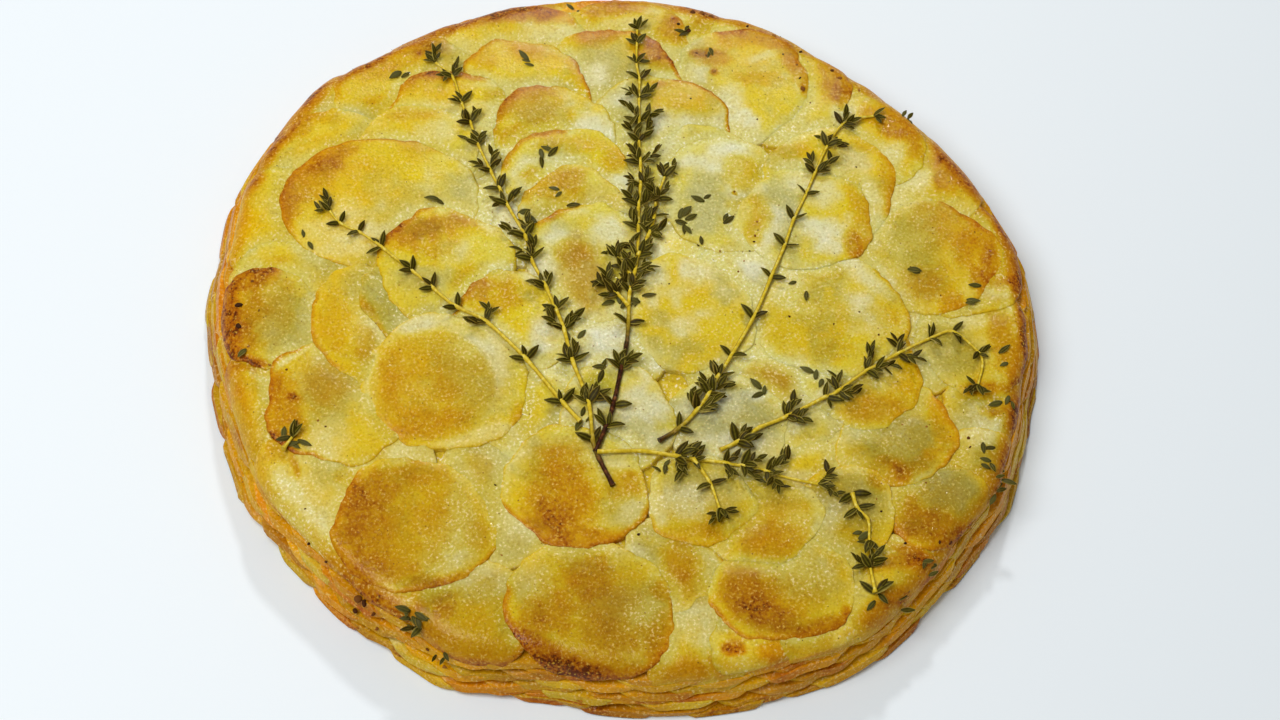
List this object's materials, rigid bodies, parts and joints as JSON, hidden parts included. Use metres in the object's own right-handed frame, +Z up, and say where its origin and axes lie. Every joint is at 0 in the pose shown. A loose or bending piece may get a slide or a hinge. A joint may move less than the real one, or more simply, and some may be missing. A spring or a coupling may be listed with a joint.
{
  "type": "pommes anna",
  "caption": "Round flat cake of thin overlapping potato slices, baked golden, with layered edges and a spray of thyme sprigs on top.",
  "frame": {"origin": "on the cake's flat underside, in the middle of its box", "axes": "+Z up through the cake, +X to the right and +Y to the back as served, with the sprigs fanning out to the back"},
  "size_m": [0.253, 0.2444, 0.024],
  "materials": {
    "baked_potato": "moist baked potato, translucent straw yellow with golden to dark brown patches, oiled",
    "thyme": "dull olive green leaves on golden to dark brown woody stems"
  },
  "bodies": {
    "root": {"potato_cake": "baked_potato", "thyme_sprig_bunch": "thyme", "thyme_sprig_left": "thyme", "thyme_sprig_right": "thyme", "thyme_sprig_far_right": "thyme", "thyme_sprig_front": "thyme", "thyme_tip_front": "thyme", "thyme_tip_left": "thyme"}
  },
  "joints": []
}
